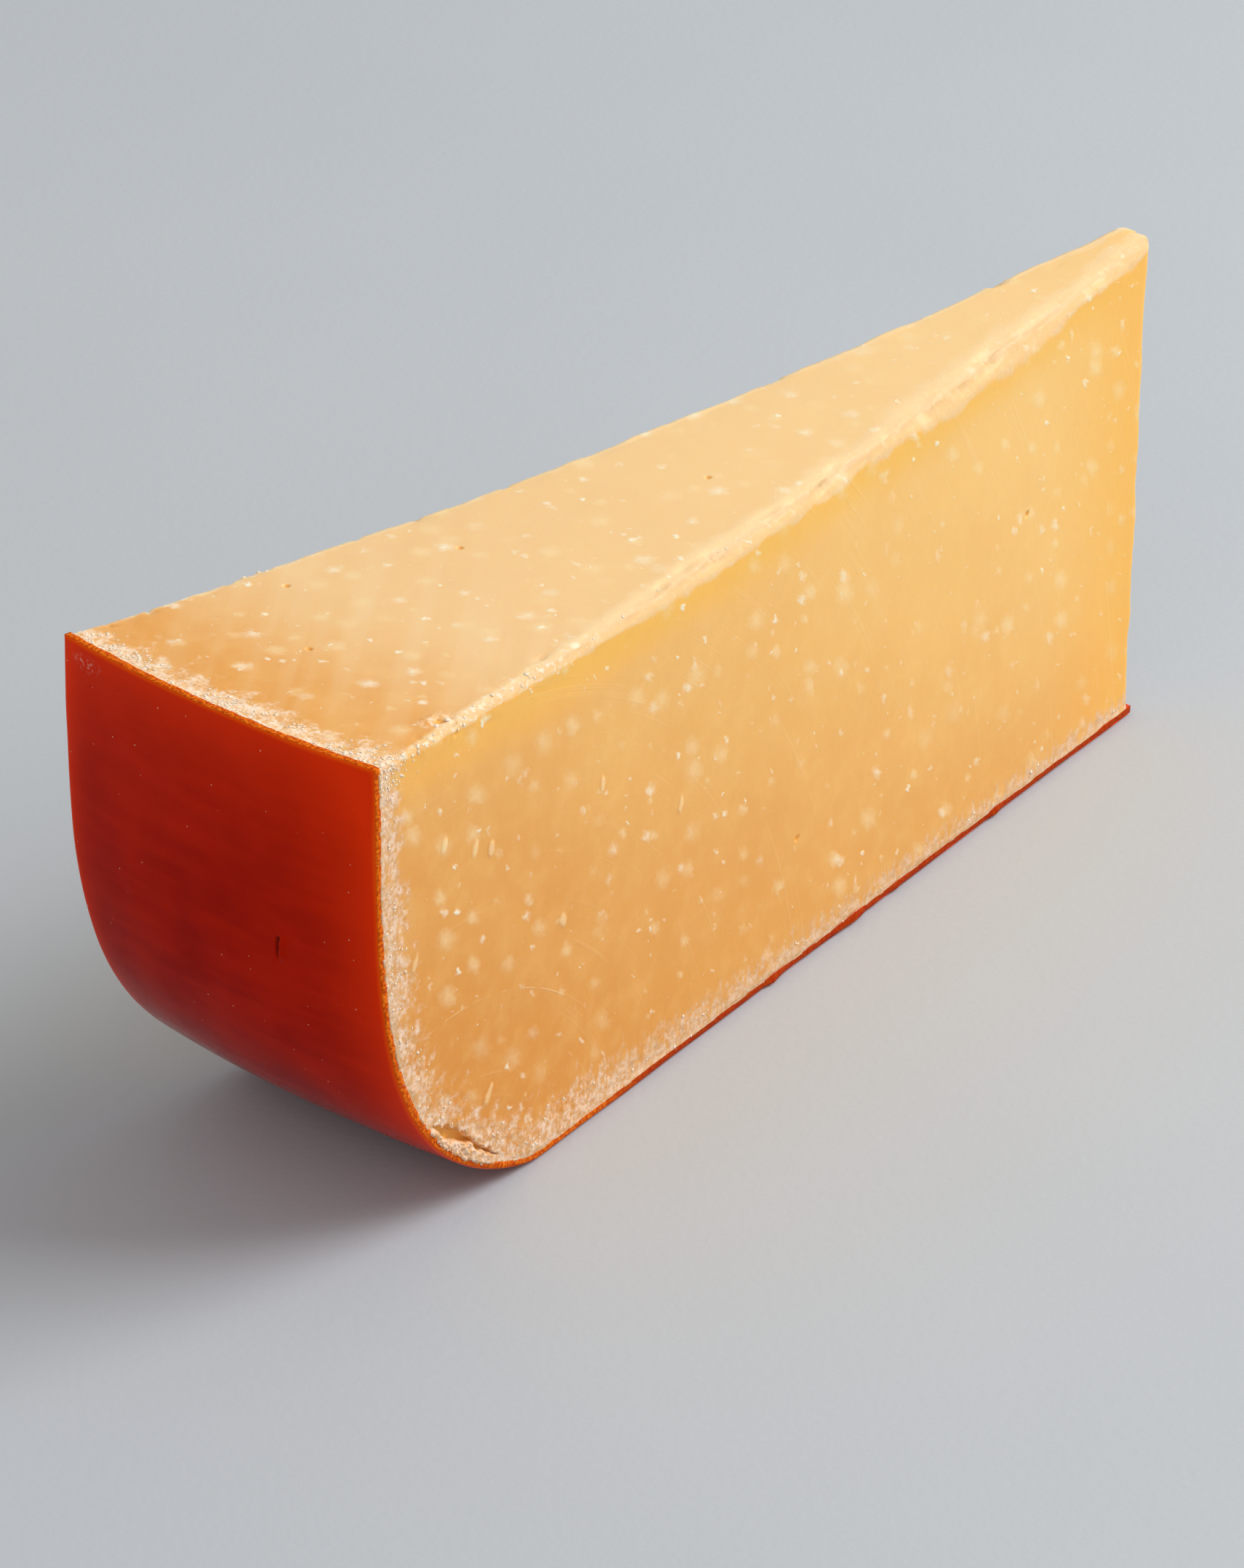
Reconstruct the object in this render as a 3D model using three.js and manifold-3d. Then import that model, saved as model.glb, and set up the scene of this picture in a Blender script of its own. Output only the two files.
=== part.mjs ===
// A wedge cut from a round wheel of hard cheese that was first halved across its middle.
// The paste shows on the two long cut faces, the blunt tip and the top; a red coating
// covers the wheel's side, its rounded lower shoulder and its flat underside.
//
// Millimetres, +Z up. +X runs from the coated side to the tip. The origin is in the
// middle of the wedge's box, on the surface that the underside rests on.

import * as THREE from 'three';
import { mergeVertices } from 'three/addons/utils/BufferGeometryUtils.js';
import Module from 'manifold-3d';

const wasm = await Module();
wasm.setup();

// The wheel that the wedge was cut from.
const wheelRadius = 180;
const equatorHeight = 63.5;      // level of the wheel's widest ring, just under the top cut
const shoulderReach = 31.3;      // how far the rounded shoulder runs in under the wheel
const shoulderRoundness = 1.45;  // superellipse exponent across the shoulder
const sideStraightness = 3.93;   // superellipse exponent up the side

// The cuts that make the wedge.
const wedgeLength = 162;
const wedgeAngle = THREE.MathUtils.degToRad(15.1);
const rimHeight = 64.4;
const tipHeight = 65;
const topDip = 2.8;              // the top cut sags this far between its two ends
const tipLean = 1.4;             // the tip's foot is this far short of its top

// The coating, and the clearance between it and the paste.
const coatThickness = 1;
const coatClearance = 0.3;

// Fineness of the curved faces.
const wheelSegments = 288;
const shoulderSteps = 36;
const topSteps = 28;

const rimX = -wedgeLength / 2;
const tipX = wedgeLength / 2;
const wheelCentreX = rimX + wheelRadius;
const spare = 12;                // how far cutting blocks run past what they cut
const blockHeight = tipHeight + spare;

// A closed three.js geometry as a manifold solid. Triangles that a lathe folds flat
// on its axis are dropped.
function solidFrom(geometry) {
  geometry.deleteAttribute('normal');
  geometry.deleteAttribute('uv');
  const merged = mergeVertices(geometry);
  const corners = merged.index.array;
  const triangles = [];
  for (let i = 0; i < corners.length; i += 3) {
    const [a, b, c] = corners.subarray(i, i + 3);
    if (a !== b && b !== c && c !== a) {
      triangles.push(a, b, c);
    }
  }
  return new wasm.Manifold(new wasm.Mesh({
    numProp: 3,
    vertProperties: merged.attributes.position.array,
    triVerts: new Uint32Array(triangles),
  }));
}

// A manifold solid back as a three.js geometry.
function geometryFrom(solid) {
  const mesh = solid.getMesh();
  const geometry = new THREE.BufferGeometry();
  geometry.setAttribute('position', new THREE.BufferAttribute(mesh.vertProperties, 3));
  geometry.setIndex(new THREE.BufferAttribute(mesh.triVerts, 1));
  geometry.computeVertexNormals();
  return geometry;
}

// The lower half of the wheel, with its skin taken off to the given depth.
function wheel(depth) {
  const flatRadius = wheelRadius - shoulderReach;
  const profile = [new THREE.Vector2(0, depth)];
  for (let i = 0; i <= shoulderSteps; i += 1) {
    const turn = (Math.PI / 2) * (1 - i / shoulderSteps);
    const out = Math.cos(turn) ** (2 / shoulderRoundness);
    const down = Math.sin(turn) ** (2 / sideStraightness);
    profile.push(new THREE.Vector2(
      flatRadius + (shoulderReach - depth) * Math.max(out, 0),
      equatorHeight - (equatorHeight - depth) * down,
    ));
  }
  profile.push(new THREE.Vector2(wheelRadius - depth, blockHeight));
  profile.push(new THREE.Vector2(0, blockHeight));
  const geometry = new THREE.LatheGeometry(profile, wheelSegments);
  geometry.rotateX(Math.PI / 2);
  geometry.translate(wheelCentreX, 0, 0);
  return solidFrom(geometry);
}

// Everything between the two long knife cuts, which would meet at the wheel's centre.
function sector() {
  const far = rimX - spare;
  const near = tipX + spare;
  const slope = Math.tan(wedgeAngle / 2);
  const outline = new THREE.Shape();
  outline.moveTo(far, -(wheelCentreX - far) * slope);
  outline.lineTo(near, -(wheelCentreX - near) * slope);
  outline.lineTo(near, (wheelCentreX - near) * slope);
  outline.lineTo(far, (wheelCentreX - far) * slope);
  outline.closePath();
  const block = new THREE.ExtrudeGeometry(outline, {
    depth: blockHeight + spare,
    bevelEnabled: false,
  });
  block.translate(0, 0, -spare);
  return solidFrom(block);
}

// Everything under the sagging top cut and short of the leaning cut at the tip.
function sideView() {
  const far = rimX - spare;
  const middleHeight = (rimHeight + tipHeight) / 2;
  const outline = new THREE.Shape();
  outline.moveTo(far, -spare);
  outline.lineTo(tipX - tipLean, -spare);
  outline.lineTo(tipX - tipLean, 0);
  outline.lineTo(tipX, tipHeight);
  outline.quadraticCurveTo(0, middleHeight - 2 * topDip, rimX, rimHeight);
  outline.lineTo(far, rimHeight);
  outline.closePath();
  const width = 2 * wheelRadius;
  const block = new THREE.ExtrudeGeometry(outline, {
    depth: width,
    bevelEnabled: false,
    curveSegments: topSteps,
  });
  block.rotateX(Math.PI / 2);
  block.translate(0, width / 2, 0);
  return solidFrom(block);
}

const cut = sector().intersect(sideView());

// The paste: the wheel under its coating.
function paste() {
  return geometryFrom(wheel(coatThickness + coatClearance).intersect(cut));
}

// The coating: the outermost skin of the wheel, open above, where the paste comes out.
function coating() {
  return geometryFrom(wheel(0).subtract(wheel(coatThickness)).intersect(cut));
}

const wedge = new THREE.Group();

const pasteMesh = new THREE.Mesh(paste(), new THREE.MeshStandardMaterial({
  color: 0xeab169,
  roughness: 0.55,
  metalness: 0,
}));
pasteMesh.name = 'cheese_paste';
wedge.add(pasteMesh);

const coatingMesh = new THREE.Mesh(coating(), new THREE.MeshStandardMaterial({
  color: 0x8c1706,
  roughness: 0.3,
  metalness: 0,
}));
coatingMesh.name = 'red_coating';
wedge.add(coatingMesh);

export default wedge;
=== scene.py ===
import itertools
import math

import bmesh
import bpy
import numpy as np
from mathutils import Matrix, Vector, kdtree


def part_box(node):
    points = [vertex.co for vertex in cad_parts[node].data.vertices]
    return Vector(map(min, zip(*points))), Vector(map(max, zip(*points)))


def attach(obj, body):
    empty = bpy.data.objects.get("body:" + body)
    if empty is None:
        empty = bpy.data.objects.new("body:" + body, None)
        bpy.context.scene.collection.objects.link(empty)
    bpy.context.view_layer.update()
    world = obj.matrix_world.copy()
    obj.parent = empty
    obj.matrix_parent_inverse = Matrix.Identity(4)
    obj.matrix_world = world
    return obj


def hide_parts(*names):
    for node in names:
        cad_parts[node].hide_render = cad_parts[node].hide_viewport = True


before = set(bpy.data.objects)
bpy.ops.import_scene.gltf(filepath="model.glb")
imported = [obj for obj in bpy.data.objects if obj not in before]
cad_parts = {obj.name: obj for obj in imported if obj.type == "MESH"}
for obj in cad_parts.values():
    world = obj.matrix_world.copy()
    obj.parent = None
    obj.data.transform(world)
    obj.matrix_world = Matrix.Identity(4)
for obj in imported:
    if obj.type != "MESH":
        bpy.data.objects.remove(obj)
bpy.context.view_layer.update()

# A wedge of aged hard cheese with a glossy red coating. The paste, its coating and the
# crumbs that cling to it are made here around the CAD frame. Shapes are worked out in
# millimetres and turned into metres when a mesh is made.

MM = 0.001
coat_low, coat_high = (np.array(corner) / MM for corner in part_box("red_coating"))
paste_high = np.array(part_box("cheese_paste")[1]) / MM

# The wheel that the wedge was cut from.
WHEEL_RADIUS = 180.0
EQUATOR = 63.5
SHOULDER_REACH = 31.3
SHOULDER_ROUNDNESS = 1.45
SIDE_STRAIGHTNESS = 3.93
COAT = 1.0               # how thick the coating is
WIDTH = 47.0             # across the coated side

# The knife cuts.
HALF_ANGLE = math.radians(15.1) / 2
TOP_DIP = 2.8
TIP_LEAN = 1.4

RIM_X = coat_low[0]
TIP_X = paste_high[0]
LENGTH = TIP_X - RIM_X
RIM_HEIGHT = coat_high[2]
TIP_HEIGHT = paste_high[2]
CENTRE_X = RIM_X + WHEEL_RADIUS
FLAT_RADIUS = WHEEL_RADIUS - SHOULDER_REACH


# ---------------------------------------------------------------- random surfaces


def lattice(cells, seed):
    """A repeatable random number from 0 to 1 for each whole-number cell."""
    key = cells.astype(np.int64) @ np.array([73856093, 19349663, 83492791]) + seed * 99991
    key = (key ^ (key >> 13)) * 1274126177
    key = (key ^ (key >> 16)) & 0xFFFFFF
    return key / 0xFFFFFF


def noise(points, size, seed):
    """Smooth random values from -1 to 1 that change over about the given size."""
    scaled = points / size
    base = np.floor(scaled)
    part = scaled - base
    part = part * part * (3 - 2 * part)
    total = np.zeros(len(points))
    for corner in itertools.product((0, 1), repeat=3):
        share = np.where(corner, part, 1 - part).prod(-1)
        total += share * lattice(base + corner, seed)
    return 2 * total - 1


TWIST = np.array([[0.36, 0.48, -0.80], [-0.80, 0.60, 0.0], [0.48, 0.64, 0.60]])


def rough(points, size, seed, octaves=3):
    """Noise with finer noise on it, each layer turned so that no grid shows."""
    total = np.zeros(len(points))
    for octave in range(octaves):
        points = points @ TWIST.T
        total += noise(points, size / 2**octave, seed + octave) / 2**octave
    return total


def smooth(values, low, high):
    """0 at low, 1 at high, eased between them. Low may be the larger."""
    share = np.clip((values - low) / (high - low), 0, 1)
    return share * share * (3 - 2 * share)


# ---------------------------------------------------------------- the wedge's outline


def top_height(x):
    """Height of the sagging top cut."""
    along = (x - RIM_X) / LENGTH
    straight = RIM_HEIGHT + (TIP_HEIGHT - RIM_HEIGHT) * along
    return straight - 4 * TOP_DIP * along * (1 - along)


def tip_line(z):
    """Where the leaning cut at the tip stands at a height."""
    return TIP_X - TIP_LEAN * (1 - z / TIP_HEIGHT)


def wheel_profile(depth):
    """Radius and height down the wheel's skin: top cut, side, shoulder, edge of the flat."""
    turn = (math.pi / 2) * np.linspace(0, 1, 600) ** 2
    out = np.abs(np.cos(turn)) ** (2 / SHOULDER_ROUNDNESS)
    down = np.sin(turn) ** (2 / SIDE_STRAIGHTNESS)
    radius = FLAT_RADIUS + (SHOULDER_REACH - depth) * out
    height = EQUATOR - (EQUATOR - depth) * down
    return np.vstack([(WHEEL_RADIUS - depth, RIM_HEIGHT), np.column_stack([radius, height])])


def line_run(line):
    """Distance along a polyline at each of its points."""
    return np.concatenate([[0], np.cumsum(np.hypot(*np.diff(line, axis=0).T))])


def resampled(line, shares):
    """Points of a polyline at shares of its length."""
    run = line_run(line)
    return np.column_stack([np.interp(shares * run[-1], run, column) for column in line.T])


def graded(length, places, spacings):
    """Shares from 0 to 1 along a length, spaced by millimetres given at a few places."""
    found = [0.0]
    while found[-1] < length:
        found.append(found[-1] + np.interp(found[-1], places, spacings))
    return np.array(found) / found[-1]


# ---------------------------------------------------------------- meshes


def box_skin(counts):
    """The surface of a grid box: each point's three indices, and quads that share points."""
    grid = np.indices(counts)
    last = np.array(counts).reshape(3, 1, 1, 1) - 1
    on_skin = ((grid == 0) | (grid == last)).any(0)
    index = np.full(counts, -1)
    index[on_skin] = np.arange(on_skin.sum())
    quads = []
    for axis, end in itertools.product(range(3), (0, -1)):
        side = np.take(index, end, axis)
        quad = np.stack([side[:-1, :-1], side[1:, :-1], side[1:, 1:], side[:-1, 1:]], -1)
        quad = quad.reshape(-1, 4)
        inward = (end == 0) != (axis == 1)
        quads.append(quad[:, ::-1] if inward else quad)
    return grid[:, on_skin].T, np.vstack(quads)


def mesh_from(name, points, faces):
    """A smooth-shaded mesh object from points in millimetres."""
    mesh = bpy.data.meshes.new(name)
    mesh.from_pydata(points * MM, [], faces.tolist())
    mesh.shade_smooth()
    mesh.update()
    piece = bpy.data.objects.new(name, mesh)
    bpy.context.scene.collection.objects.link(piece)
    return piece


def places_of(piece):
    """A mesh's points in millimetres."""
    found = np.empty(len(piece.data.vertices) * 3)
    piece.data.vertices.foreach_get("co", found)
    return found.reshape(-1, 3) / MM


def normals_of(piece):
    """A mesh's point normals."""
    found = np.empty(len(piece.data.vertices) * 3)
    piece.data.vertices.foreach_get("normal", found)
    return found.reshape(-1, 3)


def move_to(piece, points):
    piece.data.vertices.foreach_set("co", (points * MM).ravel())
    piece.data.update()


def keep_values(piece, name, values):
    """Stores one number a point, for the piece's finish to read."""
    layer = piece.data.attributes.new(name, "FLOAT", "POINT")
    layer.data.foreach_set("value", np.asarray(values, np.float32))


def refine(piece, wanted, rounds):
    """Splits the faces that are larger than wanted(centres) asks, in millimetres."""
    work = bmesh.new()
    work.from_mesh(piece.data)
    for _ in range(rounds):
        faces = list(work.faces)
        centres = np.array([face.calc_center_median() for face in faces]) / MM
        sizes = np.sqrt([face.calc_area() for face in faces]) / MM
        coarse = sizes > 1.3 * wanted(centres)
        edges = {edge for face, split in zip(faces, coarse) if split for edge in face.edges}
        bmesh.ops.subdivide_edges(work, edges=list(edges), cuts=1, use_grid_fill=True)
    work.to_mesh(piece.data)
    work.free()
    piece.data.shade_smooth()


# ---------------------------------------------------------------- distances on the paste

SKIN_STEP = 0.1


def skin_tree():
    """The coating's inner face in section, as a tree of points, and its run from the top."""
    flat_end = (CENTRE_X - tip_line(0), COAT)
    line = np.vstack([wheel_profile(COAT), flat_end])
    length = line_run(line)[-1]
    steps = np.linspace(0, 1, int(length / SKIN_STEP))
    points = resampled(line, steps)
    tree = kdtree.KDTree(len(points))
    for i, (radius, height) in enumerate(points):
        tree.insert((radius, height, 0), i)
    tree.balance()
    return tree, steps * length


def to_skin(points):
    """Each point's distance to the coating and the nearest place's run down the coating."""
    tree, runs = skin_tree()
    radius = np.hypot(CENTRE_X - points[:, 0], points[:, 1])
    hits = [tree.find((r, z, 0)) for r, z in zip(radius, points[:, 2])]
    return np.array([hit[2] for hit in hits]), runs[[hit[1] for hit in hits]]


def to_cuts(points):
    """Each point's depth under the near, far, top and tip cuts."""
    x, y, z = points.T
    half_width = (CENTRE_X - x) * math.tan(HALF_ANGLE)
    near = (y + half_width) * math.cos(HALF_ANGLE)
    far = (half_width - y) * math.cos(HALF_ANGLE)
    return near, far, top_height(x) - z, tip_line(z) - x


# ---------------------------------------------------------------- the paste

PASTE_DEPTH = 0.9        # the paste's outer face, just inside the coating's inner one
NEAR_OUT = np.array([math.sin(HALF_ANGLE), -math.cos(HALF_ANGLE), 0])
FAR_OUT = NEAR_OUT * (1, -1, 1)
TOP_OUT = np.array([0, 0, 1.0])
TIP_OUT = np.array([1.0, 0, 0])

# Marks on the near face, as x and z, and on the top, as x and y.
NEAR_CORNER = (-80.0, -22.6, 64.3)
TEAR = np.array([-65.2, -19.9, 63.4])
PINHOLE_RADIUS = 0.5
PINHOLE_DEPTH = 0.28
NEAR_PINHOLES = ((4.2, 17.2), (53.9, 38.7))
TOP_PINHOLES = ((-62.3, 2.3), (-52.6, 15.0), (-31.7, 7.7), (0.9, -1.2))

# Small flakes that lift off the near face, as x, z and lean.
FLAKE_MARKS = ((-57.8, 44.7, 0.1), (-43.9, 29.1, -0.3), (-60.8, 46.1, 0.2), (-66.7, 49.3, 0.1),
               (-72.5, 37.0, 0.3), (-36.0, 43.0, 0.1), (-58.6, 13.5, 0.5), (-20.0, 33.0, 0.0))

# The clearest knife mark on the near face is an arc round this point.
ARC_CENTRE = (-65.8, 0.0, -8.6)
ARC_RADIUS = 35.5

# The split between rind and paste, by its run down the coating.
SPLIT_RUN = (52.0, 55.0, 58.5, 62.0, 63.5, 66.0, 68.5)
SPLIT_DEPTH = (0.7, 1.2, 1.7, 1.9, 1.5, 1.3, 0.9)
SPLIT_HALF = (0.10, 0.75, 0.65, 0.28, 0.42, 0.30, 0.05)


# How round the near and far top edges are worn, from the rim to the tip.
NEAR_WEAR = ((-81, -62, -30, 10, 50, 81), (0.5, 0.9, 1.5, 2.3, 2.4, 1.4))
FAR_WEAR = ((-81, 81), (0.6, 1.0))

# Face sizes: where nothing is seen, in the dried zone, round small marks and in openings.
PLAIN_GRAIN = 9.0
BLOOM_GRAIN = 0.34
MARK_GRAIN = 0.2
OPENING_GRAIN = 0.17

# How far the surface moves out or in at its marks.
FLAKE_LIFT = 0.12
TEAR_DEPTH = 0.32
LIP_LIFT = 0.14
SPLIT_GAP = 1.1


def near_point(x, z):
    """The point of the near face at an x and a height."""
    return np.array([x, -(CENTRE_X - x) * math.tan(HALF_ANGLE), z])


def pinholes():
    """Centre of each small round opening."""
    side = [near_point(x, z) for x, z in NEAR_PINHOLES]
    top = [np.array([x, y, top_height(x)]) for x, y in TOP_PINHOLES]
    return side + top


def paste_block():
    """The paste with sharp edges, as a closed skin of quads."""
    rows_line = wheel_profile(PASTE_DEPTH)[::-1]
    height = line_run(rows_line)[-1]
    rows = resampled(rows_line, graded(height, (0, 36, 48, height - 8, height - 3, height),
                                       (0.6, 0.65, 1.2, 1.2, 0.45, 0.35)))
    along = graded(LENGTH, (0, 10, 22, 150, 158), (0.6, 0.6, 1.1, 1.1, 0.5))
    across = 2 * graded(WIDTH, (0, 3, 8, 39, 44), (0.4, 0.5, 1.4, 1.4, 0.5)) - 1
    indices, quads = box_skin((len(along), len(across), len(rows)))
    u = along[indices[:, 0]]
    angle = HALF_ANGLE * across[indices[:, 1]]
    rim_radius, level = rows[indices[:, 2]].T
    tip_radius = (CENTRE_X - tip_line(level)) / np.cos(angle)
    radius = rim_radius + (tip_radius - rim_radius) * u
    x = CENTRE_X - radius * np.cos(angle)
    stretch = (top_height(x) - PASTE_DEPTH) / (RIM_HEIGHT - PASTE_DEPTH)
    z = PASTE_DEPTH + (level - PASTE_DEPTH) * stretch
    return np.column_stack([x, radius * np.sin(angle), z]), quads


def bloom_width(run):
    """How far the dried, crumbly zone reaches in from the coating."""
    return np.interp(run, (0, 40, 60, 85, 105, 150, 240), (4.4, 4.6, 5.6, 6.2, 4.4, 3.0, 2.2))


def paste_grain(centres):
    """The face size that the paste's detail asks for at each place."""
    depth, run = to_skin(centres)
    near, far, top, _ = to_cuts(centres)
    on_cut = (np.minimum(near, top) < 0.6) | (far < 0.3)
    size = np.full(len(centres), PLAIN_GRAIN)
    size[on_cut & (depth < bloom_width(run) + 1) & (run < 110)] = BLOOM_GRAIN
    in_split = (near < 0.6) & (depth < 3.2) & (run > SPLIT_RUN[0] - 2) & (run < SPLIT_RUN[-1] + 2)
    size[in_split] = OPENING_GRAIN
    size[np.linalg.norm(centres - TEAR, axis=1) < 3] = MARK_GRAIN
    for centre in pinholes():
        size[np.linalg.norm(centres - centre, axis=1) < 2.4 * PINHOLE_RADIUS] = OPENING_GRAIN
    for x, z, _ in FLAKE_MARKS:
        size[np.linalg.norm(centres - near_point(x, z), axis=1) < 1.8] = MARK_GRAIN
    return size


def rounded(points):
    """The paste with its knife edges worn round, the distance to a ridge, and the wear there."""
    near, far, top, tip = to_cuts(points)
    wobble = 1 + 0.30 * rough(points, 12, 11) + 0.18 * rough(points, 3, 14)
    near_round = np.interp(points[:, 0], *NEAR_WEAR)
    far_round = np.interp(points[:, 0], *FAR_WEAR)
    is_near = near < far
    radius = np.where(is_near, near_round, far_round) * wobble
    depths = np.column_stack([np.minimum(near, far), top, tip])
    outs = np.stack([np.where(is_near[:, None], NEAR_OUT, FAR_OUT),
                     np.broadcast_to(TOP_OUT, points.shape),
                     np.broadcast_to(TIP_OUT, points.shape)], 1)
    reach = np.clip(radius[:, None] - depths, 0, None)
    length = np.linalg.norm(reach, axis=1)
    excess = np.clip(length - radius, 0, None) / np.maximum(length, 1e-9)
    moved = points - (excess[:, None, None] * reach[:, :, None] * outs).sum(1)
    ridge = np.hypot(depths[:, 0], depths[:, 1])
    return moved, ridge, ridge / radius


def split_shape(points, depth, run):
    """How open the split is at each point, and how much its outer lip stands out."""
    along = np.column_stack([run, np.zeros(len(run)), points[:, 1]])
    middle = np.interp(run, SPLIT_RUN, SPLIT_DEPTH) + 0.16 * rough(along, 1.1, 31)
    half = np.interp(run, SPLIT_RUN, SPLIT_HALF, left=0, right=0)
    half = half * (1 + 0.5 * rough(along, 0.6, 33))
    open_here = smooth(half - np.abs(depth - middle), -0.02, 0.14) * (half > 0.04)
    lip = smooth(middle - half - depth, -0.1, 0.3) * smooth(half, 0.05, 0.2)
    return open_here, lip


def make_paste():
    """The paste with its worn ridges, chips, crumbly bloom, pinholes, tear and split."""
    points, quads = paste_block()
    piece = mesh_from("paste", points, quads)
    refine(piece, paste_grain, 3)
    points = places_of(piece)
    depth, run = to_skin(points)
    near, far, top, _ = to_cuts(points)
    points, ridge, bevel = rounded(points)
    move_to(piece, points)
    out = normals_of(piece)

    cut_face = smooth(depth, 0.05, 0.6)
    by_ridge = smooth(ridge, 3.2, 0.6)
    bloom = smooth(depth / bloom_width(run) + 0.35 * rough(points, 2.5, 5), 1.1, 0.5)
    bloom = bloom * cut_face
    shift = 0.20 * rough(points, 32, 1) + 0.05 * rough(points, 7, 2)
    shift += by_ridge * 0.12 * rough(points, 2.6, 3)
    chips = np.clip(rough(points, 2.4, 4) - 0.55, 0, 1)
    shift -= 1.1 * by_ridge * chips
    shift += bloom * (0.08 * rough(points, 0.9, 6) + 0.05 * noise(points, 0.4, 7))
    shift *= cut_face

    openings = np.zeros(len(points))
    for centre in pinholes():
        gap = np.linalg.norm(points - centre, axis=1)
        openings = np.maximum(openings, smooth(gap, PINHOLE_RADIUS, 0.45 * PINHOLE_RADIUS))
    shift -= PINHOLE_DEPTH * openings

    flakes = np.zeros(len(points))
    for x, z, lean in FLAKE_MARKS:
        up = points[:, 2] - z
        aside = points[:, 0] - x - lean * up
        gap = np.hypot(aside / 0.65, up / 1.2) + 0.25 * rough(points, 0.9, 15)
        lifted = smooth(gap, 1.0, 0.6) * (near < 0.3)
        flakes = np.maximum(flakes, lifted)
    shift += FLAKE_LIFT * flakes

    tear_gap = np.linalg.norm((points - TEAR) * (0.7, 1, 1.2), axis=1)
    tear_gap += 0.35 * rough(points, 0.8, 8)
    torn = smooth(tear_gap, 0.65, 0.30)
    flank = smooth(tear_gap, 2.2, 1.0)
    shift += 0.14 * flank * (0.5 + rough(points, 1.1, 9)) - TEAR_DEPTH * torn

    on_near = smooth(near, 0.5, 0.1)
    open_split, lip = split_shape(points, depth, run)
    open_split = open_split * on_near
    lip = lip * on_near
    shift += LIP_LIFT * lip * (1 + 1.8 * rough(points, 0.4, 12)) - SPLIT_GAP * open_split

    move_to(piece, points + out * shift[:, None])
    keep_values(piece, "rind", depth)
    keep_values(piece, "run", run)
    keep_values(piece, "zone", depth / bloom_width(run))
    keep_values(piece, "ridge", ridge)
    keep_values(piece, "bevel", bevel)
    keep_values(piece, "flake", flakes)
    keep_values(piece, "top", smooth(top - np.minimum(near, far), 0.8, -0.8))
    keep_values(piece, "hole", np.maximum(openings, np.maximum(torn, open_split)))
    keep_values(piece, "torn", np.maximum(flank, lip))
    return piece


# ---------------------------------------------------------------- the coating

BLISTER = np.array([-80.0, -9.8, 37.2])
SCUFF = np.array([-79.9, 19.6, 62.3])


def coat_section():
    """Outer and inner section of the coating at matching steps, from its top edge to the tip."""
    outer = wheel_profile(0)
    inner = wheel_profile(COAT)
    run = line_run(outer)
    side = run[-1]
    flat = FLAT_RADIUS - (CENTRE_X - tip_line(0))
    steps = graded(side + flat, (0, 1.5, 3, 24, 25, 30, 31, side - 4, side + 12),
                   (0.25, 0.3, 0.7, 0.7, 0.22, 0.22, 0.7, 0.7, 1.6))
    reach = steps * (side + flat)
    on_flat = np.clip((reach - side) / flat, 0, 1)
    sections = []
    for line in (outer, inner):
        places = [np.interp(reach, run, column) for column in line.T]
        sections.append(np.column_stack(places))
    return sections[0], sections[1], on_flat, reach


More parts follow.
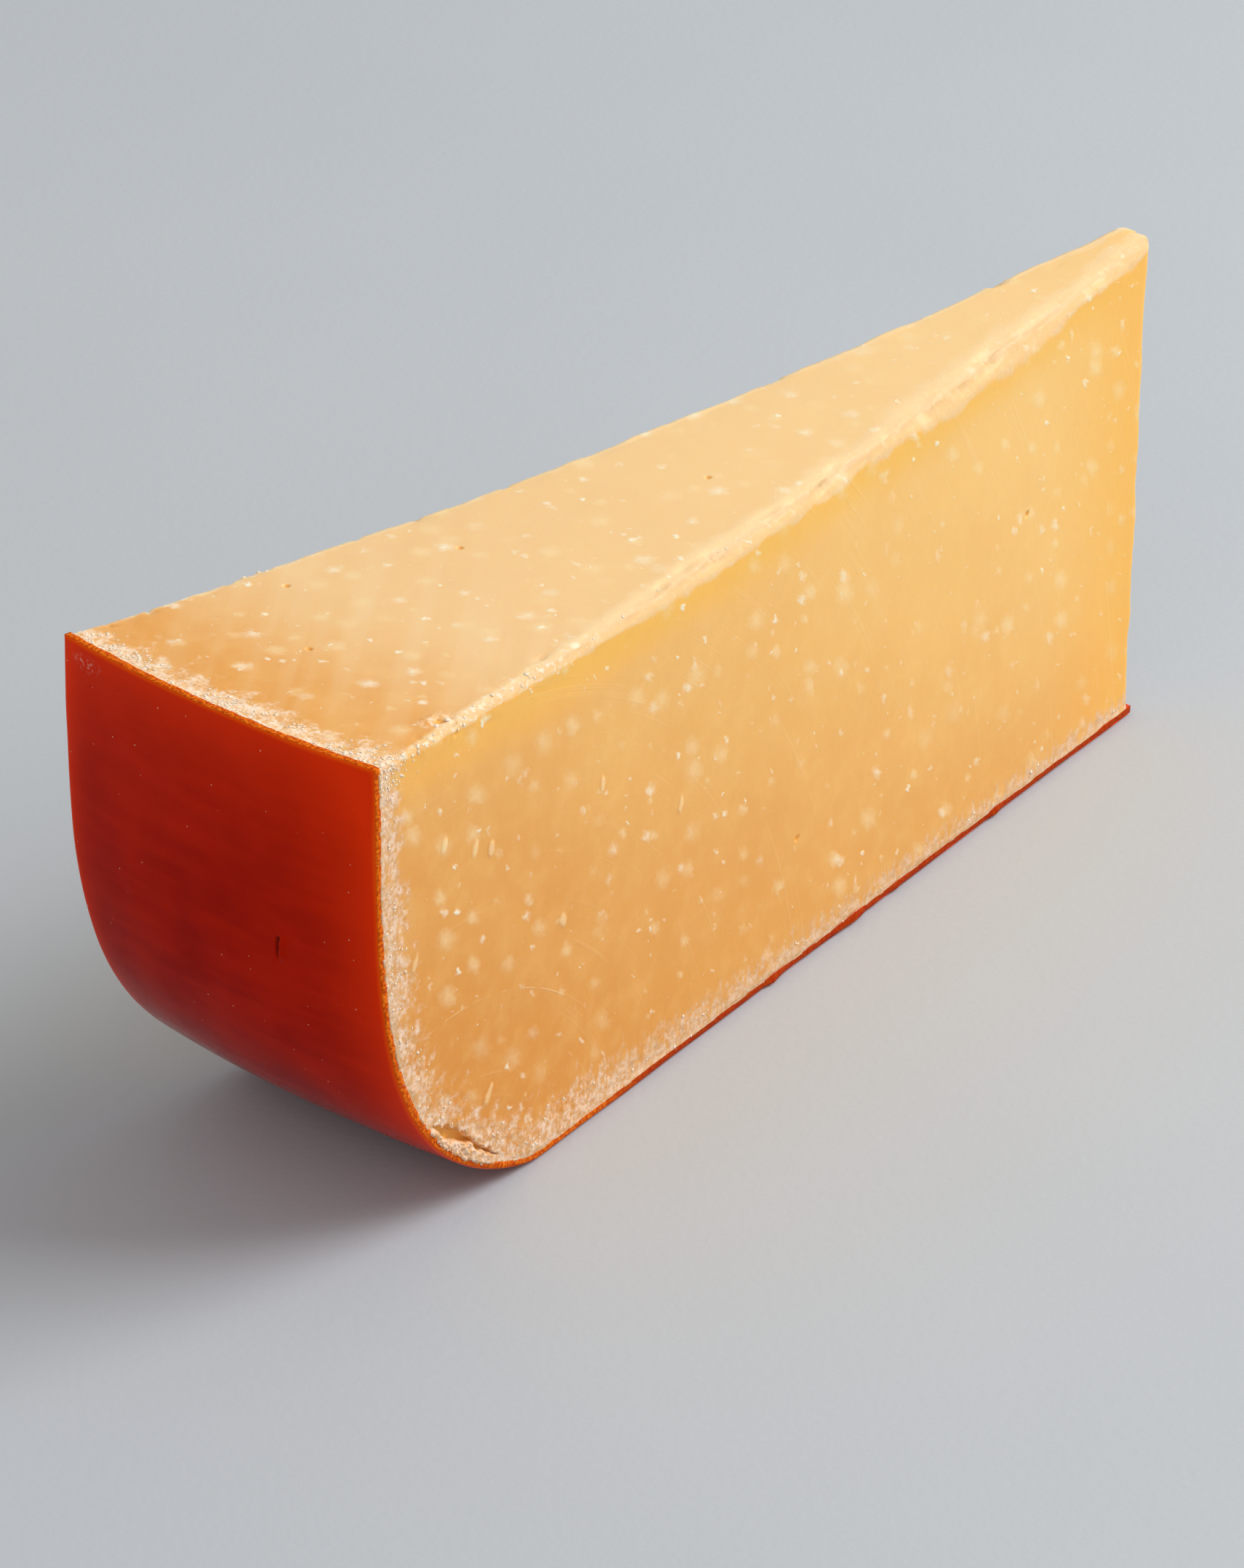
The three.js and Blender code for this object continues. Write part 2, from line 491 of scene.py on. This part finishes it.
def make_coating():
    """The coating as a thin closed shell, with rough cut edges and a few marks."""
    outer, inner, on_flat, reach = coat_section()
    across = 2 * graded(WIDTH, (0, 1.2, 3, 11.5, 12.5, 15, 16, 44, 46),
                        (0.2, 0.25, 0.9, 0.9, 0.16, 0.16, 0.9, 0.9, 0.25)) - 1
    layers = np.linspace(1, 0, 5)
    indices, quads = box_skin((len(reach), len(across), len(layers)))
    i = indices[:, 0]
    angle = HALF_ANGLE * across[indices[:, 1]]
    layer = layers[indices[:, 2]]
    section = outer[i] * (1 - layer[:, None]) + inner[i] * layer[:, None]
    radius, z = section.T
    tip_radius = (CENTRE_X - tip_line(z)) / np.cos(angle)
    radius = radius + (tip_radius - radius) * on_flat[i]
    points = np.column_stack([CENTRE_X - radius * np.cos(angle), radius * np.sin(angle), z])
    # The three directions are left-handed here, so the faces are turned over.
    piece = mesh_from("coating", points, quads[:, ::-1])
    out = normals_of(piece)

    near, far, _, _ = to_cuts(points)
    side_edge = np.minimum(near, far)
    edge = np.minimum(side_edge, reach[i])
    outside = smooth(layer, 0.3, 0.0)
    on_cut = smooth(edge, 0.12, 0.0) * smooth(layer, 0.0, 0.25)
    shift = 0.10 * rough(points, 16, 21) * outside
    shift += on_cut * 0.10 * rough(points, 0.8, 22)
    # The outer corner of each cut edge is worn a little round.
    shift -= 0.16 * smooth(edge, 0.3, 0.0) * smooth(layer, 0.35, 0.0)
    drips = np.clip(rough(points * (1, 0, 0), 3.0, 23) - 0.2, 0, 1)
    shift += 0.45 * drips * on_cut * smooth(reach[i], 95, 115)
    _, aside, above = (points - BLISTER).T
    tall = smooth(np.abs(above), 1.8, 0.9) * outside
    bent = aside - 0.45 + 0.12 * above
    slit = tall * smooth(np.abs(bent), 0.42, 0.16)
    shift += 0.42 * tall * smooth(np.abs(bent + 0.45), 0.85, 0.1) - 0.6 * slit
    moved = points + out * shift[:, None]
    moved[:, 2] = np.maximum(moved[:, 2], 0)
    move_to(piece, moved)
    keep_values(piece, "edge", edge)
    # Light that soaks into the paste glows through the coating beside the lit cuts.
    glow = 0.9 * np.exp(-near / 5.0) + 0.9 * np.exp(-far / 1.4) + 0.8 * np.exp(-reach[i] / 9.0)
    keep_values(piece, "lit", np.clip(glow, 0, 1))
    keep_values(piece, "cut", on_cut)
    keep_values(piece, "slit", slit)
    from_scuff = np.linalg.norm((points - SCUFF) * (1, 0.6, 1.5), axis=1)
    keep_values(piece, "scuff", smooth(from_scuff, 1.8, 0.4))
    keep_values(piece, "run", reach[i])
    return piece


# ---------------------------------------------------------------- crumbs


def scatter(piece, density, count, seed):
    """Random places on a mesh, thicker where density(points, normals) says, with normals."""
    draw = np.random.default_rng(seed)
    mesh = piece.data
    mesh.calc_loop_triangles()
    corners = np.empty(len(mesh.loop_triangles) * 3, np.int32)
    mesh.loop_triangles.foreach_get("vertices", corners)
    corners = corners.reshape(-1, 3)
    points = places_of(piece)
    triangle = points[corners]
    normal = np.cross(triangle[:, 1] - triangle[:, 0], triangle[:, 2] - triangle[:, 0])
    area = np.linalg.norm(normal, axis=1)
    normal /= np.maximum(area, 1e-12)[:, None]
    weight = area * density(triangle.mean(1), normal)
    picked = draw.choice(len(corners), count, p=weight / weight.sum())
    a, b = draw.random((2, count))
    fold = a + b > 1
    a[fold], b[fold] = 1 - a[fold], 1 - b[fold]
    shares = np.column_stack([1 - a - b, a, b])
    return (triangle[picked] * shares[:, :, None]).sum(1), normal[picked], draw


def crumb_shape():
    """Points and faces of a plain twenty-sided grain."""
    work = bmesh.new()
    bmesh.ops.create_icosphere(work, subdivisions=1, radius=1)
    points = np.array([vert.co for vert in work.verts])
    faces = np.array([[vert.index for vert in face.verts] for face in work.faces])
    work.free()
    return points, faces


def crumb_density(centres, normals):
    """Crumbs sit in the dried zone next to the coating, and thickest at the corners."""
    depth, run = to_skin(centres)
    near, far, top, tip = to_cuts(centres)
    width = bloom_width(run)
    patchy = smooth(rough(centres, 1.8, 41), -0.25, 0.6)
    dried = smooth(depth, width, 0.3 * width) * smooth(depth, 0.0, 0.25)
    up = normals[:, 2] > 0.6
    share = np.where(up, 1.6, np.where(run > 85, 0.15, 0.35))
    corner = smooth(np.linalg.norm(centres - NEAR_CORNER, axis=1), 8, 1)
    thinning = np.interp(centres[:, 0], (-81, -70, -48, 0), (1.3, 0.4, 0.12, 0.0))
    on_ridge = smooth(np.hypot(near, top), 1.5, 0.3) * thinning
    open_face = (np.minimum(np.minimum(near, far), np.minimum(top, tip)) < 0.8) & (depth > 0.1)
    return (dried * patchy * share + 1.4 * corner + on_ridge * patchy) * open_face


# Larger flakes on the ridges. Each one sits on the paste at the point nearest to its place here.
FLAKES = np.array([(-52.3, 20.3, 63.3), (-54.6, 20.6, 63.4), (-51.0, 20.1, 63.2),
                   (-78.4, -22.6, 64.2), (-56.0, -19.9, 63.5), (-50.4, -19.2, 63.3),
                   (-64.4, -20.6, 63.7), (-66.3, -20.6, 63.7), (-78.6, 22.6, 64.3)])
FLAKE_SIZE = 0.35

CRUMB_COUNT = 2600
SMALLEST_CRUMB = 0.06
CRUMB_SPREAD = 0.18      # how much larger the largest crumb is
CRUMB_FLATNESS = 0.72
CRUMB_RISE = 0.12        # a crumb's middle above the paste, as a share of its size


def make_crumbs(paste):
    """Dry crumbs that stand on the paste beside the coating, and a few flakes on the ridges."""
    places, normals, draw = scatter(paste, crumb_density, CRUMB_COUNT, 7)
    surface = places_of(paste)
    nearest = [np.linalg.norm(surface - flake, axis=1).argmin() for flake in FLAKES]
    places = np.vstack([places, surface[nearest]])
    normals = np.vstack([normals, np.tile(TOP_OUT, (len(FLAKES), 1))])
    size = SMALLEST_CRUMB + CRUMB_SPREAD * draw.random(CRUMB_COUNT) ** 3
    size = np.concatenate([size, np.full(len(FLAKES), FLAKE_SIZE)])
    count = len(places)
    shape, faces = crumb_shape()
    stretch = draw.uniform(0.6, 1.4, (count, 3))
    knobs = draw.uniform(0.65, 1.25, (count, len(shape), 1))
    axes = np.linalg.qr(draw.normal(size=(count, 3, 3)))[0]
    axes *= np.sign(np.linalg.det(axes))[:, None, None]
    grains = (shape * knobs * stretch[:, None]) @ axes
    # They lie flattened against the paste.
    stood = (grains * normals[:, None]).sum(2, keepdims=True)
    grains -= CRUMB_FLATNESS * stood * normals[:, None]
    middles = places + normals * (CRUMB_RISE * size[:, None])
    points = middles[:, None] + grains * size[:, None, None]
    every = faces[None] + (np.arange(count) * len(shape))[:, None, None]
    return mesh_from("crumbs", points.reshape(-1, 3), every.reshape(-1, 3))


# ---------------------------------------------------------------- shader wiring


class Wire:
    """A socket in a finish. Arithmetic on it adds Math nodes."""

    def __init__(self, finish, socket):
        self.finish = finish
        self.socket = socket

    def math(self, operation, *values):
        return self.finish.add("Math", {"operation": operation}, dict(enumerate(values)))

    def __add__(self, other):
        return self.math("ADD", self, other)

    def __sub__(self, other):
        return self.math("SUBTRACT", self, other)

    def __rsub__(self, other):
        return self.math("SUBTRACT", other, self)

    def __mul__(self, other):
        return self.math("MULTIPLY", self, other)

    def __truediv__(self, other):
        return self.math("DIVIDE", self, other)

    __radd__ = __add__
    __rmul__ = __mul__


class Finish:
    """One material and the nodes that make it. Coordinates are in millimetres."""

    def __init__(self, name):
        self.material = bpy.data.materials.new(name)
        self.material.use_nodes = True
        self.tree = self.material.node_tree
        self.tree.nodes.clear()
        place = self.add("TexCoord", output="Object")
        self.place = self.vector("MULTIPLY", place, (1 / MM, 1 / MM, 1 / MM))

    def add(self, kind, settings=None, inputs=None, output=0):
        """A node with its settings, then its sockets' values or links. Returns an output."""
        node = self.tree.nodes.new("ShaderNode" + kind)
        for key, value in (settings or {}).items():
            setattr(node, key, value)
        for key, value in (inputs or {}).items():
            if isinstance(value, Wire):
                self.tree.links.new(value.socket, node.inputs[key])
            else:
                node.inputs[key].default_value = value
        return Wire(self, node.outputs[output]) if node.outputs else None

    def axes(self):
        """The place's three coordinates."""
        parts = self.add("SeparateXYZ", {}, {0: self.place}).socket.node.outputs
        return [Wire(self, part) for part in parts]

    def vector(self, operation, *values):
        return self.add("VectorMath", {"operation": operation}, dict(enumerate(values)))

    def measure(self, operation, *values):
        """A number that Vector Math works out from vectors."""
        settings = {"operation": operation}
        return self.add("VectorMath", settings, dict(enumerate(values)), output="Value")

    def stored(self, name):
        """A number kept on the mesh's points."""
        return self.add("Attribute", {"attribute_name": name}, output="Fac")

    def grain(self, size, detail=2.0, where=None, distortion=0.0):
        """Noise from 0 to 1 whose lumps are about size millimetres."""
        inputs = {"Vector": where or self.place, "Scale": 1 / size, "Detail": detail,
                  "Distortion": distortion}
        return self.add("TexNoise", {}, inputs)

    def stretched(self, factors):
        return self.vector("MULTIPLY", self.place, factors)

    def ease(self, value, low, high):
        """0 at low, 1 at high, eased between them."""
        inputs = {"Value": value, "From Min": low, "From Max": high}
        return self.add("MapRange", {"interpolation_type": "SMOOTHSTEP"}, inputs)

    def blend(self, share, first, second):
        """A colour between two."""
        return self.add("Mix", {"data_type": "RGBA"}, {0: share, 6: first, 7: second}, output=2)

    def spots(self, where, cell, largest, share, softness):
        """Flat spots up to a radius, in that share of the cells, as a share from 0 to 1."""
        inputs = {"Vector": where, "Scale": 1 / cell}
        texture = self.add("TexVoronoi", {"voronoi_dimensions": "2D"}, inputs)
        colour = Wire(self, texture.socket.node.outputs["Color"])
        chance = self.add("SeparateColor", {}, {0: colour})
        radius = (chance - (1 - share)) * (largest / (share * cell))
        radius = radius.math("MAXIMUM", radius, 0.001)
        return self.ease(texture / radius, 1.0, softness)

    def relief(self, height):
        """A Bump's normal from a height in millimetres."""
        return self.add("Bump", {}, {"Height": height, "Distance": MM, "Strength": 1.0})

    def finish_with(self, shader):
        self.add("OutputMaterial", {}, {"Surface": shader})
        return self.material


def rgb(*values):
    return (*values, 1.0)


# ---------------------------------------------------------------- finishes


def crystals(f, plan, top):
    """Soft pale patches and small bright cores, in drifts. Returns both as shares."""
    wander = f.add("TexNoise", {}, {"Vector": plan, "Scale": 1.2, "Detail": 2.0}, output="Color")
    ragged = f.vector("ADD", plan, f.vector("MULTIPLY", wander, (1.5, 1.5, 0.0)))
    drifts = f.ease(f.grain(14.0, 2.0), 0.36, 0.60) * 0.6 + 0.4
    soft = f.spots(ragged, 4.9, 2.2, 0.8, 0.0)
    wide = f.spots(ragged, 6.3, 1.3 + top * 0.5, 0.65, 0.0)
    small = f.spots(ragged, 3.9, 0.62 + top * 0.2, 0.34, 0.15)
    fine = f.spots(f.vector("ADD", ragged, (31.7, 12.3, 0.0)), 2.2, 0.32, 0.18, 0.2)
    # Some are streaks that lean with the knife.
    lean = f.vector("ADD", f.vector("MULTIPLY", ragged, (1.0, 0.50, 0.0)), (71.0, 17.0, 0.0))
    streak = f.spots(lean, 4.6, 0.7, 0.25, 0.0)
    core = wide.math("MAXIMUM", wide * 0.75, small)
    core = core.math("MAXIMUM", core, streak * 0.5)
    core = core.math("MAXIMUM", core, fine * 0.6)
    return soft * drifts, core * (f.ease(f.grain(0.9, 3.0), 0.25, 0.60) * 0.5 + 0.5) * drifts


def paste_finish():
    """Waxy ochre paste: cloudy, with crystals, a dried crumbly zone and worn ridges."""
    f = Finish("cheese_paste")
    rind, zone, ridge = f.stored("rind"), f.stored("zone"), f.stored("ridge")
    run, top, hole, torn = f.stored("run"), f.stored("top"), f.stored("hole"), f.stored("torn")
    along, sideways, height = f.axes()

    # A plan of each cut, so that what lies flat in it keeps its shape there.
    far_side = f.add("Math", {"operation": "GREATER_THAN"}, {0: sideways, 1: 0.0})
    side_run = along * 0.68 + sideways * 0.9 + far_side * 400
    side_plan = f.add("CombineXYZ", {}, {0: side_run, 1: height * 0.95 + along * 0.39})
    top_plan = f.add("CombineXYZ", {}, {0: along, 1: sideways + 400})
    on_top = f.add("Math", {"operation": "GREATER_THAN"}, {0: top, 1: 0.5})
    plan = f.add("Mix", {"data_type": "VECTOR"}, {0: on_top, 4: side_plan, 5: top_plan}, output=1)

    # Body colour: amber low down and by the rim, paler and yellower above and at the tip. This is
    # partly the paste's own tone and partly painted light: painted shade low down and at the
    # foot, painted light higher up and towards the tip.
    clouds = f.grain(18.0, 2.0)
    mottle = f.grain(3.0, 4.0)
    rise = f.ease(height * 0.62 + along * 0.34 + clouds * 24.0 - top * 12.0, -15.0, 66.0)
    body = f.blend(rise, rgb(0.74, 0.290, 0.034), rgb(0.92, 0.575, 0.19))
    foot = f.ease(height, 22.0, 5.0) * f.ease(along, -60.0, 0.0)
    body = f.blend(foot * 0.55, body, rgb(0.79, 0.38, 0.075))
    body = f.blend(f.ease(mottle, 0.40, 0.75) * 0.18, body, rgb(0.95, 0.63, 0.24))
    drag = f.add("CombineXYZ", {}, {0: sideways * 0.81 - along * 0.59, 1: along * 0.05})
    drag = f.ease(f.grain(3.2, 3.0, drag), 0.40, 0.64) * f.ease(along, -20.0, -60.0)
    # The top face is painted paler in its middle stretch, partly its own tone and partly a
    # painted sheen. The knife drag streaks on it are real.
    pale = f.ease(along + clouds * 12.0, -70.0, -40.0) * f.ease(along, 120.0, 40.0)
    body = f.blend(top * (pale * 0.65 + drag * 0.16), body, rgb(0.90, 0.67, 0.375))

    # On the worn ridge the paste is paler, partly from wear and partly a painted highlight. Under
    # it is a clearer orange yellow, partly the paste's own tone and partly a painted glow of
    # light through the paste.
    bevel = f.stored("bevel")
    frayed = bevel + (f.grain(2.8, 4.0) - 0.5) * 1.1
    under = f.ease(ridge + clouds * 5.0, 11.0, 5.0) * (1 - top)
    under = under * (f.ease(along, -80.0, -30.0) * 0.3 + 0.5)
    body = f.blend(under, body, rgb(1.0, 0.52, 0.085))
    body = f.blend(f.ease(along, 56.0, 80.0) * (1 - top) * 0.8, body, rgb(0.97, 0.49, 0.080))
    wear_and_sheen = f.ease(frayed, top * 0.5 + 1.35, 0.95) * f.ease(along, -84.0, -60.0)
    cream = f.blend(f.ease(top, 0.4, 0.9), rgb(0.87, 0.60, 0.30), rgb(0.92, 0.68, 0.38))
    # The crest of the rounding, where the light falls fullest, is painted darker: a painted
    # shade.
    cream = f.blend(f.ease(bevel, top * 0.3 + 0.70, 0.0), cream, rgb(0.74, 0.51, 0.26))
    body = f.blend(wear_and_sheen * 0.9, body, cream)
    specks = wear_and_sheen * f.ease(f.grain(0.8, 4.0), 0.50, 0.66)
    body = f.blend(specks * 0.25, body, rgb(0.92, 0.71, 0.44))
    body = f.blend(specks * f.ease(along, -30.0, -56.0) * 0.7, body, rgb(0.93, 0.82, 0.68))
    body = f.blend(f.stored("flake") * 0.5, body, rgb(0.96, 0.74, 0.42))

    soft, core = crystals(f, plan, top)
    body = f.blend(soft * 0.46, body, rgb(0.96, 0.77, 0.45))
    body = f.blend(core * 0.90, body, rgb(0.98, 0.91, 0.74))

    # Holes are coloured a deeper orange.
    body = f.blend(hole * 0.9, body, rgb(1.0, 0.50, 0.085))

    # The dried zone by the coating: frayed tufts of pale crumb, combed where it turns.
    strand = f.add("CombineXYZ", {}, {0: run, 1: rind * 0.22, 2: top * 3.0})
    streaks = f.grain(0.8, 3.0, strand)
    lower = f.ease(run, 60.0, 85.0)
    tufts = f.grain(1.7, 4.0)
    fray = (tufts - 0.5) * (1 - lower * 0.5) * 3.2 + (streaks - 0.5) * lower * 2.2
    dried = f.ease(zone + fray, 1.25, 0.15)
    crumble = f.grain(0.45, 4.0)
    gaps = f.ease(crumble + dried * 0.16, 0.46, 0.66)
    shed = torn * f.ease(f.grain(0.7, 3.0), 0.40, 0.60)
    dry = dried * (gaps * 0.70 + 0.30)
    from_corner = f.measure("DISTANCE", f.place, NEAR_CORNER)
    corner = f.ease(from_corner + tufts * 6.0, 11.0, 3.5)
    dry = dry.math("MAXIMUM", dry, shed * 0.8)
    dry = dry.math("MAXIMUM", dry, corner * (gaps * 0.8 + 0.2)) * (1 - hole)
    # The crumb is painted paler on the top face than on the sides: painted light.
    pale_crumb = f.blend(top, rgb(0.90, 0.65, 0.475), rgb(0.97, 0.80, 0.63))
    warm_crumb = f.blend(top, rgb(0.73, 0.41, 0.185), rgb(0.90, 0.59, 0.33))
    chalk = f.blend(f.ease(f.grain(0.9, 3.0), 0.35, 0.65), warm_crumb, pale_crumb)
    chalk = f.blend(f.ease(run, 80.0, 105.0) * 0.45, chalk, rgb(0.70, 0.44, 0.24))

    # Knife marks: fine arcs round a point at the foot of the rim, the clearest by itself.
    rings = f.vector("MULTIPLY", f.vector("SUBTRACT", f.place, ARC_CENTRE), (1.0, 0.0, 1.0))
    ring = f.measure("LENGTH", rings)
    groove = f.add("CombineXYZ", {}, {0: ring, 1: along * 0.02, 2: height * 0.02})
    scratch = f.ease(f.grain(0.7, 2.0, groove), 0.55, 0.72) * (1 - top)
    arc = f.ease(f.add("Math", {"operation": "ABSOLUTE"}, {0: ring - ARC_RADIUS}), 0.16, 0.03)
    arc = arc * f.ease(along, -72.0, -69.0) * f.ease(along, -40.0, -46.0) * (1 - top)
    arc = arc * f.ease(f.grain(4.0), 0.35, 0.60)
    scratch = scratch * f.ease(f.grain(9.0), 0.40, 0.62)
    body = f.blend(arc * 0.25 + scratch * 0.06, body, rgb(0.96, 0.76, 0.47))

    bumps = f.grain(0.25) * 0.01 + mottle * 0.06 + soft * 0.02 + core * 0.05 + specks * 0.02
    bumps = bumps + scratch * 0.015 + arc * 0.03
    paste = f.add("BsdfPrincipled", {}, {
        "Base Color": body,
        "Roughness": core * 0.2 + 0.44,
        "Normal": f.relief(bumps),
        "Subsurface Weight": 1.0,
        "Subsurface Radius": (1.0, 0.8, 0.55),
        "Subsurface Scale": 0.5 * MM,
        "IOR": 1.42,
    })
    bloom = f.add("BsdfPrincipled", {}, {
        "Base Color": chalk,
        "Roughness": 0.85,
        "Normal": f.relief(crumble * 0.12),
        "IOR": 1.35,
    })
    return f.finish_with(f.add("MixShader", {}, {0: dry, 1: paste, 2: bloom}))


def coating_finish():
    """Glossy red coating, deep in the middle, with a painted orange glow of light near its cut
    edges, and orange where it is cut.
    """
    f = Finish("red_coating")
    edge, cut, run, lit = f.stored("edge"), f.stored("cut"), f.stored("run"), f.stored("lit")
    clouds = f.grain(9.0, 3.0)
    bands = f.grain(1.8, 3.0, f.stretched((0.12, 0.12, 1.0)))
    streaky = f.ease(clouds + bands * 0.6, 0.55, 1.05)
    deep = f.blend(streaky, rgb(0.33, 0.004, 0.001), rgb(0.45, 0.009, 0.001))
    # Painted light: the coating is painted orange near the cuts, for light glowing through it
    # from the paste, and brighter still in a thin band along each cut edge.
    skin = f.blend(lit * 0.85, deep, rgb(0.88, 0.036, 0.001))
    lip = f.ease(edge + clouds * 0.5, 0.9, 0.25)
    skin = f.blend(lip * 0.6, skin, rgb(0.92, 0.11, 0.006))
    ragged = f.grain(0.40, 3.0)
    raw = f.blend(f.ease(ragged, 0.38, 0.64), rgb(0.52, 0.060, 0.002), rgb(0.84, 0.19, 0.008))
    raw = f.blend(f.ease(run, 88.0, 104.0) * 0.8, raw, rgb(0.34, 0.018, 0.002))
    skin = f.blend(f.ease(cut, 0.25, 0.7), skin, raw)
    # The blister's slit is painted near black: a painted shade in the recess.
    skin = f.blend(f.stored("slit") * 0.9, skin, rgb(0.07, 0.002, 0.001))
    rub = f.stored("scuff") * f.ease(f.grain(0.5, 3.0), 0.48, 0.66)
    skin = f.blend(rub * 0.45, skin, rgb(0.80, 0.42, 0.34))
    around = f.add("CombineXYZ", {}, {0: f.axes()[1], 1: run})
    dust = f.spots(around, 3.9, 0.13, 0.5, 0.4)
    skin = f.blend(dust * 0.7, skin, rgb(0.85, 0.55, 0.40))
    haze = f.grain(1.4, 4.0)
    gloss = f.ease(haze, 0.45, 0.8) * 0.10 + cut * 0.35 + dust * 0.3 + 0.19
    bumps = f.grain(5.0, 2.0) * 0.10 + f.grain(0.5, 2.0) * 0.004 + ragged * cut * 0.12
    shader = f.add("BsdfPrincipled", {}, {
        "Base Color": skin,
        "Roughness": gloss,
        "Normal": f.relief(bumps),
        "Specular IOR Level": 0.06,
        "Specular Tint": rgb(1.0, 0.45, 0.20),
        "IOR": 1.45,
    })
    return f.finish_with(shader)


def crumb_finish():
    """Dry pale crumb."""
    f = Finish("cheese_crumb")
    shade = f.grain(0.6, 3.0)
    colour = f.blend(f.ease(shade, 0.35, 0.7), rgb(0.94, 0.76, 0.56), rgb(0.96, 0.87, 0.74))
    shader = f.add("BsdfPrincipled", {}, {
        "Base Color": colour,
        "Roughness": 0.8,
        "Normal": f.relief(f.grain(0.2, 2.0) * 0.02),
    })
    return f.finish_with(shader)


def floor_finish():
    f = Finish("pale_floor")
    tone = f.blend(f.grain(60.0, 3.0), rgb(0.47, 0.515, 0.57), rgb(0.50, 0.545, 0.60))
    shader = f.add("BsdfPrincipled", {}, {
        "Base Color": tone,
        "Roughness": 0.75,
        "Normal": f.relief(f.grain(1.2, 3.0) * 0.05),
        "Specular IOR Level": 0.25,
    })
    return f.finish_with(shader)


# ---------------------------------------------------------------- camera, floor, light

VIEW_AZIMUTH = math.radians(-48.37)
VIEW_ELEVATION = math.radians(28.87)
VIEW_ROLL = math.radians(0.18)
VIEW_DISTANCE = 1.0663
VIEW_AIM = Vector((-0.00883, 0.00328, 0.02398))
LENS = 209.3
NEAREST_SEEN = 0.05
FLOOR_GAP = 0.0002       # keeps the floor and the coating's underside out of one plane


def make_camera():
    camera = bpy.data.objects.new("camera", bpy.data.cameras.new("camera"))
    bpy.context.scene.collection.objects.link(camera)
    level = math.cos(VIEW_ELEVATION)
    back = Vector((math.sin(VIEW_AZIMUTH) * level, -math.cos(VIEW_AZIMUTH) * level,
                   math.sin(VIEW_ELEVATION)))
    camera.location = VIEW_AIM + back * VIEW_DISTANCE
    camera.rotation_euler = back.to_track_quat("Z", "Y").to_euler()
    camera.rotation_euler.rotate_axis("Z", VIEW_ROLL)
    camera.data.lens = LENS
    camera.data.clip_start = NEAREST_SEEN
    bpy.context.scene.camera = camera


def make_floor(finish):
    work = bmesh.new()
    bmesh.ops.create_grid(work, x_segments=8, y_segments=8, size=4.0)
    mesh = bpy.data.meshes.new("floor")
    work.to_mesh(mesh)
    work.free()
    mesh.materials.append(finish)
    floor = bpy.data.objects.new("floor", mesh)
    bpy.context.scene.collection.objects.link(floor)
    floor.location.z = -FLOOR_GAP


def softbox(name, place, aim, width, height, power, colour):
    light = bpy.data.lights.new(name, "AREA")
    light.shape = "RECTANGLE"
    light.size = width
    light.size_y = height
    light.energy = power
    light.color = colour
    lamp = bpy.data.objects.new(name, light)
    lamp.location = place
    lamp.rotation_euler = (Vector(place) - Vector(aim)).to_track_quat("Z", "Y").to_euler()
    bpy.context.scene.collection.objects.link(lamp)


def make_light():
    """One large softbox to the camera's right and above, and a pale room round it."""
    middle = (0, 0, 0.03)
    softbox("key", (0.68, -0.58, 0.82), middle, 0.8, 0.7, 13.1, (1.0, 0.98, 0.95))
    softbox("fill", (-1.1, -0.2, 0.7), middle, 1.2, 0.9, 2.0, (1.0, 0.97, 0.94))
    world = bpy.data.worlds.new("room")
    world.use_nodes = True
    background = world.node_tree.nodes["Background"]
    background.inputs["Color"].default_value = rgb(0.98, 0.94, 0.88)
    background.inputs["Strength"].default_value = 0.50
    bpy.context.scene.world = world


# ---------------------------------------------------------------- the whole thing


def dress(piece, finish, node):
    """Gives a piece its finish, hangs it on the root body and hides the CAD part it stands for.
    """
    piece.data.materials.append(finish)
    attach(piece, "root")
    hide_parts(node)


make_camera()
make_floor(floor_finish())
make_light()
bpy.context.scene.view_settings.view_transform = "Standard"

paste = make_paste()
dress(paste, paste_finish(), "cheese_paste")
dress(make_coating(), coating_finish(), "red_coating")
dress(make_crumbs(paste), crumb_finish(), "cheese_paste")
